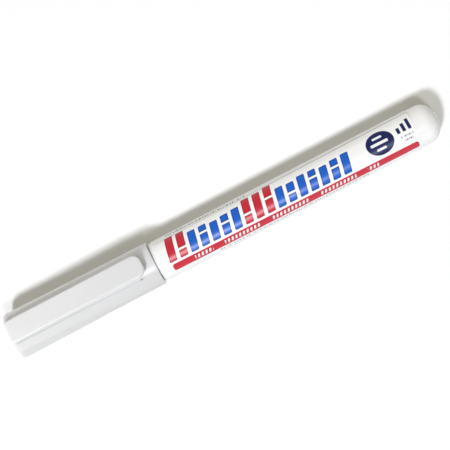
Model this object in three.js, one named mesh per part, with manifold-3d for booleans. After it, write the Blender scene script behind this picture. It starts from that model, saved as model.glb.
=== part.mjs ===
import * as THREE from 'three';
import { mergeVertices } from 'three/addons/utils/BufferGeometryUtils.js';
import Module from 'manifold-3d';

// Slim valve-action paint marker, capped and lying on the flat opposite its clip, in millimetres.
// X runs along the marker from the cap to the tail, Z is up, and the marker rests on Z = 0.
// Every piece is built about the X axis and the whole marker is then lifted to its resting height.

// Overall form
const overallLength = 138;
const capLength = 46.5;
const capAcrossFlats = 13.6;
const barrelDiameter = 11.8;

// Cap: ten-sided at the closed end, turning round towards the mouth
const capSides = 10;
const capCornerRadius = 1;
const capMouthCornerRadius = 6.7;
const capFacetFadeLength = 30;
const capFacetFadePower = 1.5;
const capEndRound = 1.1;
const capTaper = 0.2;
const capMouthRound = 0.25;
const capEndWall = 1.2;
const capBoreDiameter = 11;
const capBoreDraft = 0.3;
const capBeadHeight = 0.15;
const capBeadLength = 0.6;
const capBeadFromMouth = 1.3;
const capMouthGap = 0.2;

// Clip moulded on the cap
const clipWidth = 6.9;
const clipThickness = 1;
const clipGap = 0.35;
const clipRise = 1.5;
const clipEdgeRound = 0.45;
const clipTipRadius = 2.6;
const clipTipToMouth = 3.1;
const clipRootCornerRadius = 0.7;
const clipRootLength = 7.5;
const clipRootWidth = 4.8;
const clipBumpFromTip = 3.2;
const clipBumpWidth = 6.2;
const clipBumpRadius = 1.1;
const clipBumpGap = 0.2;

// Ribs inside the cap that hold the inner cap
const ribCount = 6;
const ribThickness = 0.8;
const ribRoot = 0.25;
const ribSeatStep = 1;
const ribLead = 1.2;
const ribOverlap = 11;

// Inner cap: a soft cup that seals over the neck of the mouthpiece
const innerCapLength = 22.5;
const innerCapWall = 0.45;
const innerCapEndWall = 0.8;
const innerCapRibGap = 0.05;
const innerCapFromMouth = 11.4;
const innerCapNeckGap = 0.15;
const innerCapLipHeight = 0.1;
const innerCapLipLength = 0.8;

// Barrel: a drawn tube with a closed, rounded tail
const barrelWall = 0.5;
const tailWall = 0.8;
const tailRadius = 4;
const tailDome = 0.45;
const tailArcEnd = 0.12;
const tailFlatDiameter = 3.6;
const mouthEdge = 0.12;

// Label: a wrap with an overlap seam
const labelThickness = 0.12;
const labelFromMouth = 0.7;
const labelFromTail = 7.6;
const labelLapThickness = 0.1;
const labelLapWidth = 2.4;
const labelSeamAngle = 45;

// Mouthpiece: flange, collar that the cap grips, neck, cone and nib tube in front; plug behind
const flangeThickness = 0.5;
const flangeInset = 0.15;
const plugLength = 12.5;
const plugGap = 0.06;
const plugBeadHeight = 0.04;
const plugBeadLength = 0.8;
const plugBeadCount = 2;
const plugBeadPitch = 2.6;
const plugLead = 0.6;
const collarDiameter = 10;
const collarLength = 9.6;
const collarRound = 1.2;
const snapRingHeight = 0.25;
const snapRingLength = 0.8;
const snapRingBehindBead = 0.35;
const neckDiameter = 6.9;
const neckLength = 8;
const neckRound = 0.5;
const coneLength = 4.6;
const coneStartDiameter = 5.6;
const nibTubeDiameter = 3.2;
const nibTubeLength = 2;

// Nib
const nibDiameter = 2;
const nibPointDiameter = 1.2;
const nibProtrusion = 4;
const nibTaperLength = 1.9;
const nibLength = 25.6;
const nibGap = 0.12;

// Valve: rod, seat, spring and cage, in one line behind the nib
const valveTravel = 1.5;
const rodSocketDiameter = 3.2;
const rodSocketGap = 0.05;
const rodSocketDepth = 4.6;
const rodStopRoom = 1.6;
const rodStemDiameter = 2.6;
const rodBoreGap = 0.4;
const rodFrontRoom = 1.4;
const valveConeDiameter = 5.6;
const valveFlangeThickness = 0.7;
const springGuideDiameter = 3;
const springGuideLength = 1.8;
const rodTailDiameter = 1.8;
const rodTailPastCage = 0.9;
const seatBoreDiameter = 3.4;
const seatDiameter = 8.2;
const seatThickness = 1.2;
const seatRecessGap = 0.05;
const seatToCone = 0.1;
const chamberDiameter = 9.3;
const seatFromPlugEnd = 6.1;
const cageGap = 0.05;
const cageRingLength = 4.2;
const cageBoreDiameter = 6.4;
const cageWall = 0.7;
const cageLength = 12.6;
const cageEndWall = 1;
const cageHoleGap = 0.15;
const cageWindowWidth = 2.4;
const cageWindowLength = 5.8;
const cageWindowFromEnd = 1.8;
const springWire = 0.4;
const springDiameter = 4.2;
const springTurns = 7;
const springEndGap = 0.1;

// Mixing ball, loose in the paint
const ballDiameter = 6;
const ballFloorGap = 0.15;
const ballFromTail = 39;

// Facets
const roundSides = 48;
const smallSides = 32;
const cornerSteps = 5;
const fadeSteps = 10;
const roundSteps = 3;
const tailSteps = 6;
const coilSteps = 10;
const wireSides = 5;

// Stations along X, worked out from the sizes above
const capEndX = -overallLength / 2;
const tailX = overallLength / 2;
const capMouthX = capEndX + capLength;
const flangeX = capMouthX + capMouthGap;
const barrelMouthX = flangeX + flangeThickness;
const snapRingX = capMouthX - capBeadFromMouth - capBeadLength - snapRingBehindBead;
const collarFrontX = flangeX - collarLength;
const neckFrontX = collarFrontX - neckLength;
const nibTubeX = neckFrontX - coneLength;
const mouthpieceFrontX = nibTubeX - nibTubeLength;
const nibTipX = mouthpieceFrontX - nibProtrusion;
const nibBackX = nibTipX + nibLength;
const plugEndX = barrelMouthX + plugLength;
const seatBackX = plugEndX - seatFromPlugEnd;
const seatFrontX = seatBackX - seatThickness;
const coneTouchX = seatBackX + seatToCone;
const rodFrontX = nibBackX - rodSocketDepth;
const rodSocketEndX = seatFrontX - valveTravel - rodStopRoom;
const cageFrontX = seatBackX + cageGap;
const cageEndX = cageFrontX + cageLength;
const innerCapMouthX = capMouthX - innerCapFromMouth;
const innerCapEndX = innerCapMouthX - innerCapLength;
const ballX = tailX - ballFromTail;

// Radii that several pieces share
const barrelRadius = barrelDiameter / 2;
const barrelBore = barrelRadius - barrelWall;
const axisHeight = capAcrossFlats / 2;
const neckRadius = neckDiameter / 2;
const innerCapBore = neckRadius + innerCapNeckGap;
const innerCapRadius = innerCapBore + innerCapWall;
const ribRadius = innerCapRadius + innerCapRibGap;
const rodBore = rodSocketDiameter / 2 + rodBoreGap;
const coneRadius = valveConeDiameter / 2;
const seatBore = seatBoreDiameter / 2;
const coneBaseX = coneTouchX + coneRadius - seatBore;
const valveFlangeX = coneBaseX + valveFlangeThickness;
const rodTailX = cageEndX + rodTailPastCage;

const wasm = await Module();
wasm.setup();

// A closed geometry as a solid; triangles that shrink to a line at a pole are dropped
function toSolid(geometry) {
  const bare = geometry.clone();
  bare.deleteAttribute('normal');
  bare.deleteAttribute('uv');
  const merged = mergeVertices(bare, 1e-4);
  const corners = merged.index.array;
  const kept = [];
  for (let i = 0; i < corners.length; i += 3) {
    const [a, b, c] = [corners[i], corners[i + 1], corners[i + 2]];
    if (a !== b && b !== c && c !== a) {
      kept.push(a, b, c);
    }
  }
  return new wasm.Manifold(new wasm.Mesh({
    numProp: 3,
    vertProperties: new Float32Array(merged.attributes.position.array),
    triVerts: new Uint32Array(kept),
  }));
}

function toMesh(name, solid, color, roughness, metalness) {
  const { vertProperties, triVerts } = solid.getMesh();
  const geometry = new THREE.BufferGeometry();
  geometry.setAttribute('position', new THREE.BufferAttribute(vertProperties, 3));
  geometry.setIndex(new THREE.BufferAttribute(triVerts, 1));
  geometry.computeVertexNormals();
  const mesh = new THREE.Mesh(geometry, new THREE.MeshStandardMaterial({ color, roughness, metalness }));
  mesh.name = name;
  return mesh;
}

// A profile of [x, radius] points turned about X, outer side towards +X and inner side back again.
// Half a side's turn puts a facet, not an edge, at the bottom.
function revolve(profile, sides = roundSides) {
  const points = profile.map(([x, radius]) => new THREE.Vector2(radius, x));
  if (profile[0][1] > 0) {
    points.push(points[0].clone());
  }
  const lathe = new THREE.LatheGeometry(points, sides, Math.PI / sides);
  return toSolid(lathe.rotateZ(-Math.PI / 2));
}

// Points of an arc in a profile, angles in quarter turns from +X towards larger radius
function arc(x, radius, size, from, to, steps) {
  return Array.from({ length: steps + 1 }, (_, i) => {
    const angle = (from + (to - from) * i / steps) * Math.PI / 2;
    return [x + size * Math.cos(angle), radius + size * Math.sin(angle)];
  });
}

// Rings of points, the same number in each, skinned along X and closed at both ends
function loft(rings) {
  const count = rings[0].length;
  const positions = rings.flat().flatMap((point) => point.toArray());
  const triangles = [];
  for (let ring = 0; ring < rings.length - 1; ring += 1) {
    for (let i = 0; i < count; i += 1) {
      const next = (i + 1) % count;
      const [a, b] = [ring * count + i, ring * count + next];
      triangles.push(a, b, a + count, b, b + count, a + count);
    }
  }
  const last = (rings.length - 1) * count;
  for (let i = 1; i < count - 1; i += 1) {
    triangles.push(0, i + 1, i, last, last + i, last + i + 1);
  }
  const geometry = new THREE.BufferGeometry();
  geometry.setAttribute('position', new THREE.Float32BufferAttribute(positions, 3));
  geometry.setIndex(triangles);
  return toSolid(geometry);
}

// A regular polygon across X with its corners rounded: as the corner radius nears half the width across
// the flats, the section becomes a circle
function capSection(x, cornerRadius, inset) {
  const shrink = 1 - inset / axisHeight;
  const centre = (axisHeight - cornerRadius) / Math.cos(Math.PI / capSides);
  const points = [];
  for (let corner = 0; corner < capSides; corner += 1) {
    const middle = (corner + 0.5) * 2 * Math.PI / capSides;
    for (let i = 0; i <= cornerSteps; i += 1) {
      const turn = middle + (i / cornerSteps - 0.5) * 2 * Math.PI / capSides;
      points.push(new THREE.Vector3(
        x,
        (centre * Math.sin(middle) + cornerRadius * Math.sin(turn)) * shrink,
        (centre * Math.cos(middle) + cornerRadius * Math.cos(turn)) * shrink,
      ));
    }
  }
  return points.reverse();
}

function capCornerAt(x) {
  const share = THREE.MathUtils.clamp((x - capEndX) / capFacetFadeLength, 0, 1);
  return THREE.MathUtils.lerp(capCornerRadius, capMouthCornerRadius, share ** capFacetFadePower);
}

// How much the tapering cap has drawn in at this station
function capTaperAt(x) {
  return capTaper * (x - capEndX) / capLength;
}

function capBody() {
  const rings = [];
  for (let i = 0; i <= roundSteps; i += 1) {
    const angle = i / roundSteps * Math.PI / 2;
    const x = capEndX + capEndRound * (1 - Math.cos(angle));
    rings.push(capSection(x, capCornerAt(x), capEndRound * (1 - Math.sin(angle))));
  }
  for (let i = 1; i <= fadeSteps; i += 1) {
    const x = capEndX + capEndRound + (capFacetFadeLength - capEndRound) * i / fadeSteps;
    rings.push(capSection(x, capCornerAt(x), capTaperAt(x)));
  }
  rings.push(capSection(capMouthX - capMouthRound, capMouthCornerRadius, capTaper));
  rings.push(capSection(capMouthX, capMouthCornerRadius, capTaper + capMouthRound));
  return loft(rings);
}

function capBore() {
  const mouthRadius = capBoreDiameter / 2;
  const endRadius = mouthRadius - capBoreDraft;
  const beadX = capMouthX - capBeadFromMouth;
  const endX = capEndX + capEndWall;
  return revolve([
    [endX, 0],
    [endX, endRadius - capEndRound],
    [endX + capEndRound, endRadius],
    [beadX - capBeadLength, mouthRadius],
    [beadX - capBeadLength * 2 / 3, mouthRadius - capBeadHeight],
    [beadX - capBeadLength / 3, mouthRadius - capBeadHeight],
    [beadX, mouthRadius],
    [capMouthX - capMouthRound, mouthRadius],
    [capMouthX + capMouthRound, mouthRadius + 2 * capMouthRound],
    [capMouthX + capMouthRound, 0],
  ]);
}

// Ribs stand in from the cap's wall; a step in their inner edges makes the inner cap's seat
function capRibs() {
  const wallRadius = capBoreDiameter / 2 + ribRoot;
  const backX = capEndX + capEndWall - ribRoot;
  const frontX = innerCapEndX + ribOverlap;
  const profile = new THREE.Shape([
    new THREE.Vector2(backX, ribRadius - ribSeatStep),
    new THREE.Vector2(innerCapEndX - innerCapRibGap, ribRadius - ribSeatStep),
    new THREE.Vector2(innerCapEndX - innerCapRibGap, ribRadius),
    new THREE.Vector2(frontX - ribLead, ribRadius),
    new THREE.Vector2(frontX, wallRadius),
    new THREE.Vector2(backX, wallRadius),
  ]);
  const rib = new THREE.ExtrudeGeometry(profile, { depth: ribThickness, bevelEnabled: false });
  rib.translate(0, 0, -ribThickness / 2);
  const ribs = [];
  for (let i = 0; i < ribCount; i += 1) {
    ribs.push(toSolid(rib.clone().rotateX((i + 0.5) * 2 * Math.PI / ribCount)));
  }
  return wasm.Manifold.union(ribs);
}

function roundedRect(x0, x1, halfWidth, startRadius, endRadius) {
  const shape = new THREE.Shape();
  shape.moveTo(x0 + startRadius, -halfWidth);
  shape.lineTo(x1 - endRadius, -halfWidth);
  shape.absarc(x1 - endRadius, -halfWidth + endRadius, endRadius, -Math.PI / 2, 0);
  shape.lineTo(x1, halfWidth - endRadius);
  shape.absarc(x1 - endRadius, halfWidth - endRadius, endRadius, 0, Math.PI / 2);
  shape.lineTo(x0 + startRadius, halfWidth);
  shape.absarc(x0 + startRadius, halfWidth - startRadius, startRadius, Math.PI / 2, Math.PI);
  shape.lineTo(x0, -halfWidth + startRadius);
  shape.absarc(x0 + startRadius, -halfWidth + startRadius, startRadius, Math.PI, Math.PI * 1.5);
  return shape;
}

// The clip's plate, which rises to its tip, its root on the cap's end and the bump that grips a pocket
function capClip() {
  const clipTipX = capMouthX - clipTipToMouth;
  const rise = THREE.MathUtils.degToRad(clipRise);
  const underside = (x) => axisHeight + clipGap + (x - capEndX) * Math.tan(rise);
  const outline = roundedRect(0, clipTipX - capEndX, clipWidth / 2, clipRootCornerRadius, clipTipRadius);
  const plate = new THREE.ExtrudeGeometry(outline, {
    depth: clipThickness - 2 * clipEdgeRound,
    bevelThickness: clipEdgeRound,
    bevelSize: clipEdgeRound,
    bevelOffset: -clipEdgeRound,
    bevelSegments: roundSteps,
    curveSegments: 6,
  });
  plate.translate(0, 0, clipEdgeRound).rotateY(-rise).translate(capEndX, 0, axisHeight + clipGap);

  const rootBottom = axisHeight - capEndWall / 2;
  const rootStartX = capEndX + clipEdgeRound;
  const rootEndX = capEndX + clipRootLength;
  const slot = (underside(rootEndX) - axisHeight) / 2;
  const rootSide = new THREE.Shape();
  rootSide.moveTo(rootStartX, rootBottom);
  rootSide.lineTo(rootEndX, rootBottom);
  rootSide.lineTo(rootEndX, axisHeight);
  rootSide.absarc(rootEndX, axisHeight + slot, slot, -Math.PI / 2, -Math.PI * 1.5, true);
  rootSide.lineTo(rootEndX, underside(rootEndX) + clipThickness / 2);
  rootSide.lineTo(rootStartX, underside(rootStartX) + clipThickness / 2);
  const root = new THREE.ExtrudeGeometry(rootSide, { depth: clipRootWidth, bevelEnabled: false });
  root.rotateX(Math.PI / 2).translate(0, clipRootWidth / 2, 0);

  const bump = new THREE.SphereGeometry(clipBumpRadius, 16, 8);
  const bumpX = clipTipX - clipBumpFromTip;
  bump.scale(1, clipBumpWidth / 2 / clipBumpRadius, 1);
  bump.translate(bumpX, 0, axisHeight - capTaperAt(bumpX) + clipBumpGap + clipBumpRadius);
  const trimmedBump = toSolid(bump).trimByPlane([0, 0, -1], -(underside(bumpX) + clipThickness / 2));
  return wasm.Manifold.union([toSolid(plate), toSolid(root), trimmedBump]);
}

function cap() {
  return capBody().subtract(capBore()).add(capRibs()).add(capClip());
}

function innerCap() {
  const lipX = innerCapMouthX - 2 * innerCapLipLength;
  return revolve([
    [innerCapEndX, 0],
    [innerCapEndX, innerCapRadius - innerCapWall],
    [innerCapEndX + innerCapWall, innerCapRadius],
    [innerCapMouthX, innerCapRadius],
    [innerCapMouthX, innerCapBore + innerCapWall / 2],
    [innerCapMouthX - innerCapLipLength, innerCapBore],
    [lipX + innerCapLipLength / 2, innerCapBore - innerCapLipHeight],
    [lipX, innerCapBore],
    [innerCapEndX + innerCapEndWall + innerCapWall, innerCapBore],
    [innerCapEndX + innerCapEndWall, innerCapBore - innerCapWall],
    [innerCapEndX + innerCapEndWall, 0],
  ], smallSides);
}

function barrel() {
  const shoulderX = tailX - tailDome - tailRadius;
  const innerTailX = tailX - tailWall;
  const innerRadius = tailRadius - barrelWall;
  const tailFlat = tailFlatDiameter / 2;
  return revolve([
    [barrelMouthX, barrelBore],
    [barrelMouthX, barrelRadius - mouthEdge],
    [barrelMouthX + mouthEdge, barrelRadius],
    ...arc(shoulderX, barrelRadius - tailRadius, tailRadius, 1, tailArcEnd, tailSteps),
    [tailX, tailFlat],
    [tailX, 0],
    [innerTailX, 0],
    [innerTailX, tailFlat],
    ...arc(shoulderX, barrelBore - innerRadius, innerRadius, tailArcEnd, 1, tailSteps),
  ]);
}

// The wrap's own thickness, and a second one where its ends overlap at the upper back
function label() {
  const startX = barrelMouthX + labelFromMouth;
  const length = tailX - labelFromTail - startX;
  const lapAngle = THREE.MathUtils.radToDeg(labelLapWidth / barrelRadius);
  const lapHeight = (angle) => {
    const fromTop = 180 - THREE.MathUtils.radToDeg(angle);
    return fromTop <= labelSeamAngle && fromTop > labelSeamAngle - lapAngle ? labelLapThickness : 0;
  };
  const ringPoints = (radiusAt) => Array.from({ length: roundSides }, (_, i) => {
    const angle = (i + 0.5) * 2 * Math.PI / roundSides;
    return new THREE.Vector2(Math.cos(angle), Math.sin(angle)).multiplyScalar(radiusAt(angle));
  });
  const section = new THREE.Shape(ringPoints((angle) => barrelRadius + labelThickness + lapHeight(angle)));
  section.holes.push(new THREE.Path(ringPoints(() => barrelRadius)));
  const wrap = new THREE.ExtrudeGeometry(section, { depth: length, bevelEnabled: false });
  wrap.rotateY(Math.PI / 2).translate(startX, 0, 0);
  return toSolid(wrap);
}

function mouthpiece() {
  const collarRadius = collarDiameter / 2;
  const plugRadius = barrelBore - plugGap - plugBeadHeight;
  const plugBeads = Array.from({ length: plugBeadCount }, (_, i) => {
    const x = barrelMouthX + plugBeadPitch * (i + 0.5);
    return [
      [x, plugRadius],
      [x + plugBeadLength / 2, plugRadius + plugBeadHeight],
      [x + plugBeadLength, plugRadius],
    ];
  }).flat();
  const seatRecess = seatDiameter / 2 + seatRecessGap;
  return revolve([
    [mouthpieceFrontX, nibDiameter / 2 + nibGap],
    [mouthpieceFrontX, nibTubeDiameter / 2 - nibGap],
    [mouthpieceFrontX + nibGap, nibTubeDiameter / 2],
    [nibTubeX, nibTubeDiameter / 2],
    [neckFrontX, coneStartDiameter / 2],
    [neckFrontX, neckRadius - neckRound],
    [neckFrontX + neckRound, neckRadius],
    [collarFrontX, neckRadius],
    ...arc(collarFrontX + collarRound, collarRadius - collarRound, collarRound, 2, 1, roundSteps),
    [snapRingX - snapRingLength, collarRadius],
    [snapRingX - snapRingLength * 2 / 3, collarRadius + snapRingHeight],
    [snapRingX - snapRingLength / 3, collarRadius + snapRingHeight],
    [snapRingX, collarRadius],
    [flangeX, collarRadius],
    [flangeX, barrelRadius - flangeInset],
    [barrelMouthX, barrelRadius - flangeInset],
    [barrelMouthX, plugRadius],
    ...plugBeads,
    [plugEndX - plugLead, plugRadius],
    [plugEndX, plugRadius - plugLead / 3],
    [plugEndX, chamberDiameter / 2],
    [seatBackX, chamberDiameter / 2],
    [seatBackX, seatRecess],
    [seatFrontX - seatRecessGap, seatRecess],
    [seatFrontX - seatRecessGap, rodBore],
    [rodFrontX - rodFrontRoom, rodBore],
    [rodFrontX - rodFrontRoom, nibDiameter / 2 + nibGap],
  ]);
}

function nib() {
  const pointRadius = nibPointDiameter / 2;
  return revolve([
    ...arc(nibTipX + pointRadius, 0, pointRadius, 2, 1.15, roundSteps),
    [nibTipX + pointRadius + nibTaperLength, nibDiameter / 2],
    [nibBackX, nibDiameter / 2],
    [nibBackX, 0],
  ], smallSides);
}

function valveRod() {
  const stem = rodStemDiameter / 2;
  const tail = rodTailDiameter / 2;
  const socket = rodSocketDiameter / 2;
  const socketBore = nibDiameter / 2 + rodSocketGap;
  return revolve([
    [rodFrontX, socketBore],
    [rodFrontX, socket],
    [rodSocketEndX, socket],
    [rodSocketEndX + socket - stem, stem],
    [coneTouchX - seatBore + stem, stem],
    [coneBaseX, coneRadius],
    [valveFlangeX, coneRadius],
    [valveFlangeX, springGuideDiameter / 2],
    [valveFlangeX + springGuideLength, springGuideDiameter / 2],
    [valveFlangeX + springGuideLength + springGuideDiameter / 2 - tail, tail],
    [rodTailX - tail / 2, tail],
    [rodTailX, tail / 2],
    [rodTailX, 0],
    [nibBackX + rodSocketGap, 0],
    [nibBackX + rodSocketGap, socketBore],
  ], smallSides);
}

function valveSeat() {
  return revolve([
    [seatFrontX, seatBore],
    [seatFrontX, seatDiameter / 2],
    [seatBackX, seatDiameter / 2],
    [seatBackX, seatBore],
  ], smallSides);
}

// A slotted cup: its front ring clamps the valve seat, its end wall carries the spring
function springCage() {
  const ring = chamberDiameter / 2 - cageGap;
  const bore = cageBoreDiameter / 2;
  const body = bore + cageWall;
  const hole = rodTailDiameter / 2 + cageHoleGap;
  const cup = revolve([
    [cageFrontX, bore],
    [cageFrontX, ring],
    [cageFrontX + cageRingLength, ring],
    [cageFrontX + cageRingLength + ring - body, body],
    [cageEndX - cageWall, body],
    [cageEndX, body - cageWall],
    [cageEndX, hole],
    [cageEndX - cageEndWall, hole],
    [cageEndX - cageEndWall, bore],
  ]);
  const window = new THREE.BoxGeometry(cageWindowLength, cageWindowWidth, 4 * body);
  window.translate(cageEndX - cageWindowFromEnd - cageWindowLength / 2, 0, 0);
  const across = window.clone().rotateX(Math.PI / 2);
  return cup.subtract(toSolid(window)).subtract(toSolid(across));
}

class Helix extends THREE.Curve {
  constructor(startX, endX, radius, turns) {
    super();
    Object.assign(this, { startX, endX, radius, turns });
  }

  getPoint(share, target = new THREE.Vector3()) {
    const angle = share * this.turns * 2 * Math.PI;
    return target.set(
      this.startX + (this.endX - this.startX) * share,
      this.radius * Math.cos(angle),
      this.radius * Math.sin(angle),
    );
  }
}

// The least gap of a coil to itself, measured between points more than half a turn apart
function leastCoilGap(points, stepsPerTurn, wire) {
  let least = Infinity;
  for (let i = 0; i < points.length; i += 1) {
    for (let j = i + stepsPerTurn / 2; j < points.length; j += 1) {
      least = Math.min(least, points[i].distanceTo(points[j]) - wire);
    }
  }
  return least;
}

function valveSpring() {
  const inset = springWire / 2 + springEndGap;
  const path = new Helix(
    valveFlangeX + inset,
    cageEndX - cageEndWall - inset,
    springDiameter / 2,
    springTurns,
  );
  const steps = springTurns * coilSteps;
  const section = new THREE.Shape(Array.from({ length: wireSides }, (_, i) => {
    const angle = i / wireSides * 2 * Math.PI;
    return new THREE.Vector2(Math.cos(angle), Math.sin(angle)).multiplyScalar(springWire / 2);
  }));
  console.log('least gap of the valve spring to itself, mm:',
    leastCoilGap(path.getPoints(steps), coilSteps, springWire).toFixed(2));
  return toSolid(new THREE.ExtrudeGeometry(section, { steps, extrudePath: path, bevelEnabled: false }));
}

function mixingBall() {
  const ball = new THREE.SphereGeometry(ballDiameter / 2, 24, 16);
  ball.translate(ballX, 0, -barrelBore + ballFloorGap + ballDiameter / 2);
  return toSolid(ball);
}

const marker = new THREE.Group();
marker.position.z = axisHeight;
marker.add(
  toMesh('cap', cap(), 0xe4e4e5, 0.42, 0),
  toMesh('inner_cap', innerCap(), 0xd9dde0, 0.5, 0),
  toMesh('barrel', barrel(), 0xf3f2f0, 0.38, 0),
  toMesh('label', label(), 0xf7f7f5, 0.5, 0),
  toMesh('mouthpiece', mouthpiece(), 0xf0f0ee, 0.4, 0),
  toMesh('nib', nib(), 0xf4f2ea, 0.9, 0),
  toMesh('valve_rod', valveRod(), 0xe9ebec, 0.45, 0),
  toMesh('valve_seat', valveSeat(), 0x8f9498, 0.8, 0),
  toMesh('valve_spring', valveSpring(), 0xb9bcc0, 0.3, 1),
  toMesh('spring_cage', springCage(), 0xe6e8e9, 0.45, 0),
  toMesh('mixing_ball', mixingBall(), 0xc3c6ca, 0.2, 1),
);

export default marker;
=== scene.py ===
import math

import bmesh
import bpy
from mathutils import Matrix, Vector


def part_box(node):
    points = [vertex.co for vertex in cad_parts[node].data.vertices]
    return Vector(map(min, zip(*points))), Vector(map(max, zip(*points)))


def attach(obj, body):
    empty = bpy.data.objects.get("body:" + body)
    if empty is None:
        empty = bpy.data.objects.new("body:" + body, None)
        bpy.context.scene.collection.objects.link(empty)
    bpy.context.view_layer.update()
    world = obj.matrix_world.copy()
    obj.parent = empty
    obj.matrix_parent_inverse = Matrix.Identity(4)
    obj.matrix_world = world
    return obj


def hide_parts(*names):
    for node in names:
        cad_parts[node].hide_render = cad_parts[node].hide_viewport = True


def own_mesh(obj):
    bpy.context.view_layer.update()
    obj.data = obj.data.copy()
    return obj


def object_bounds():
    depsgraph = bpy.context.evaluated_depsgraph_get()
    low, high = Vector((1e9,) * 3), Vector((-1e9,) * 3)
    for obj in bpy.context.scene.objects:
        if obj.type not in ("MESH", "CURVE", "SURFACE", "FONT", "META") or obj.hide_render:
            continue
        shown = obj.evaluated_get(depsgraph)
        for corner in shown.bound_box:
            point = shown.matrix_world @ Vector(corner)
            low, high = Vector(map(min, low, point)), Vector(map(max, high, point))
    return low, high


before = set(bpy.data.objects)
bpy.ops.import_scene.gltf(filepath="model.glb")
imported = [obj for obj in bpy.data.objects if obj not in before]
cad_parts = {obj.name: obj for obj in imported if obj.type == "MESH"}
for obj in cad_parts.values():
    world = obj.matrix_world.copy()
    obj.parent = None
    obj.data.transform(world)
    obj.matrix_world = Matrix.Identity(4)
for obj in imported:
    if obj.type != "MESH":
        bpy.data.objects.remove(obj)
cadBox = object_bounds()
mm = 0.001
tau = 2 * math.pi


def span(node):
    # where a node starts and ends along the marker, in millimetres
    low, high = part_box(node)
    return low.x / mm, high.x / mm


axisHeight = 6.8  # in millimetres: half the cap's width between its flats, on which it lies
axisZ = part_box("cap")[0].z + axisHeight * mm
capX0, capX1 = span("cap")
barrelX0, barrelX1 = span("barrel")
labelX0, labelX1 = span("label")
print("frame loaded, cap from", round(capX0, 2), "to", round(capX1, 2))


class Num:
    # a number that a node gives, so that sums of numbers can be written as sums
    def __init__(self, desk, socket):
        self.desk = desk
        self.socket = socket

    def math(self, operation, *others, clamp=False):
        return self.desk.math(operation, self, *others, clamp=clamp)

    def __add__(self, other):
        return self.math("ADD", other)

    def __sub__(self, other):
        return self.math("SUBTRACT", other)

    def __mul__(self, other):
        return self.math("MULTIPLY", other)

    def __truediv__(self, other):
        return self.math("DIVIDE", other)

    def __pow__(self, other):
        return self.math("POWER", other)

    def __mod__(self, other):
        return self.math("FLOORED_MODULO", other)

    def __lt__(self, other):
        return self.math("LESS_THAN", other)

    def __gt__(self, other):
        return self.math("GREATER_THAN", other)

    def __neg__(self):
        return self.math("MULTIPLY", -1)

    def __abs__(self):
        return self.math("ABSOLUTE")

    def __rsub__(self, other):
        return self.desk.math("SUBTRACT", other, self)

    def __rtruediv__(self, other):
        return self.desk.math("DIVIDE", other, self)

    __radd__ = __add__
    __rmul__ = __mul__

    def least(self, other):
        return self.math("MINIMUM", other)

    def most(self, other):
        return self.math("MAXIMUM", other)

    def clamped(self):
        return self.math("ADD", 0, clamp=True)

    def between(self, low, high):
        # 1 where the number lies between the two limits
        return (self > low) * (self < high)


class Desk:
    # one node tree: numbers are joined by math, and any other node comes from node
    def __init__(self, tree):
        self.tree = tree

    def feed(self, socket, value):
        if isinstance(value, Num):
            self.tree.links.new(value.socket, socket)
        elif isinstance(value, bpy.types.NodeSocket):
            self.tree.links.new(value, socket)
        else:
            socket.default_value = value

    def math(self, operation, *values, clamp=False):
        made = self.tree.nodes.new("ShaderNodeMath")
        made.operation = operation
        made.use_clamp = clamp
        for socket, value in zip(made.inputs, values):
            self.feed(socket, value)
        return Num(self, made.outputs[0])

    def node(self, kind, settings=None, inputs=None):
        made = self.tree.nodes.new(kind)
        for name, value in (settings or {}).items():
            setattr(made, name, value)
        for name, value in (inputs or {}).items():
            self.feed(made.inputs[name], value)
        return made

    def num(self, socket):
        return Num(self, socket)

    def blend(self, share, low, high):
        # colour low where share is 0, colour high where it is 1
        made = self.node("ShaderNodeMix", {"data_type": "RGBA"})
        self.feed(made.inputs["Factor"], share)
        for socket, value in ((made.inputs[6], low), (made.inputs[7], high)):
            self.feed(socket, (*value, 1) if isinstance(value, tuple) else value)
        return made.outputs[2]

    def lerp(self, share, low, high):
        return share * (high - low) + low


def newMaterial(name, settings):
    # a material whose Principled shader has these even values on its own sockets
    made = bpy.data.materials.new(name)
    made.use_nodes = True
    desk = Desk(made.node_tree)
    shader = made.node_tree.nodes["Principled BSDF"]
    for socket, value in settings.items():
        shader.inputs[socket].default_value = value
    return made, desk, shader


def objectPlace(desk):
    # object coordinates, in metres
    return desk.node("ShaderNodeTexCoord").outputs["Object"]


def numbersOf(desk, vector):
    split = desk.node("ShaderNodeSeparateXYZ", inputs={"Vector": vector})
    return [desk.num(split.outputs[i]) for i in range(3)]


def noise(desk, place, scale, detail=3, roughness=0.5):
    made = desk.node("ShaderNodeTexNoise", inputs={
        "Vector": place, "Scale": scale, "Detail": detail, "Roughness": roughness})
    return desk.num(made.outputs["Fac"])


def stretched(desk, place, scale):
    return desk.node("ShaderNodeMapping", inputs={"Vector": place, "Scale": scale}).outputs[0]


def bumped(desk, shader, height, distance):
    made = desk.node("ShaderNodeBump", inputs={"Height": height, "Distance": distance, "Strength": 1.0})
    desk.feed(shader.inputs["Normal"], made.outputs[0])


def inside(distance, softness=0.04):
    # 1 where a distance from an edge is negative, 0 where it is positive
    return (0.5 - distance / (2 * softness)).clamped()


def barEdge(acrossX, acrossY, halfX, halfY, corner):
    # how far outside a bar with rounded corners a point is; the two lengths are from its middle
    qx = abs(acrossX) - (halfX - corner)
    qy = abs(acrossY) - (halfY - corner)
    outside = (qx.most(0) ** 2 + qy.most(0) ** 2) ** 0.5
    return outside + qx.most(qy).least(0) - corner


def roundedBar(*sizes):
    return inside(barEdge(*sizes))


def anyOf(masks):
    made = masks[0]
    for mask in masks[1:]:
        made = made.most(mask)
    return made


def eased(share):
    # a smooth step from 0 to 1
    share = min(max(share, 0), 1)
    return share * share * (3 - 2 * share)


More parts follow.
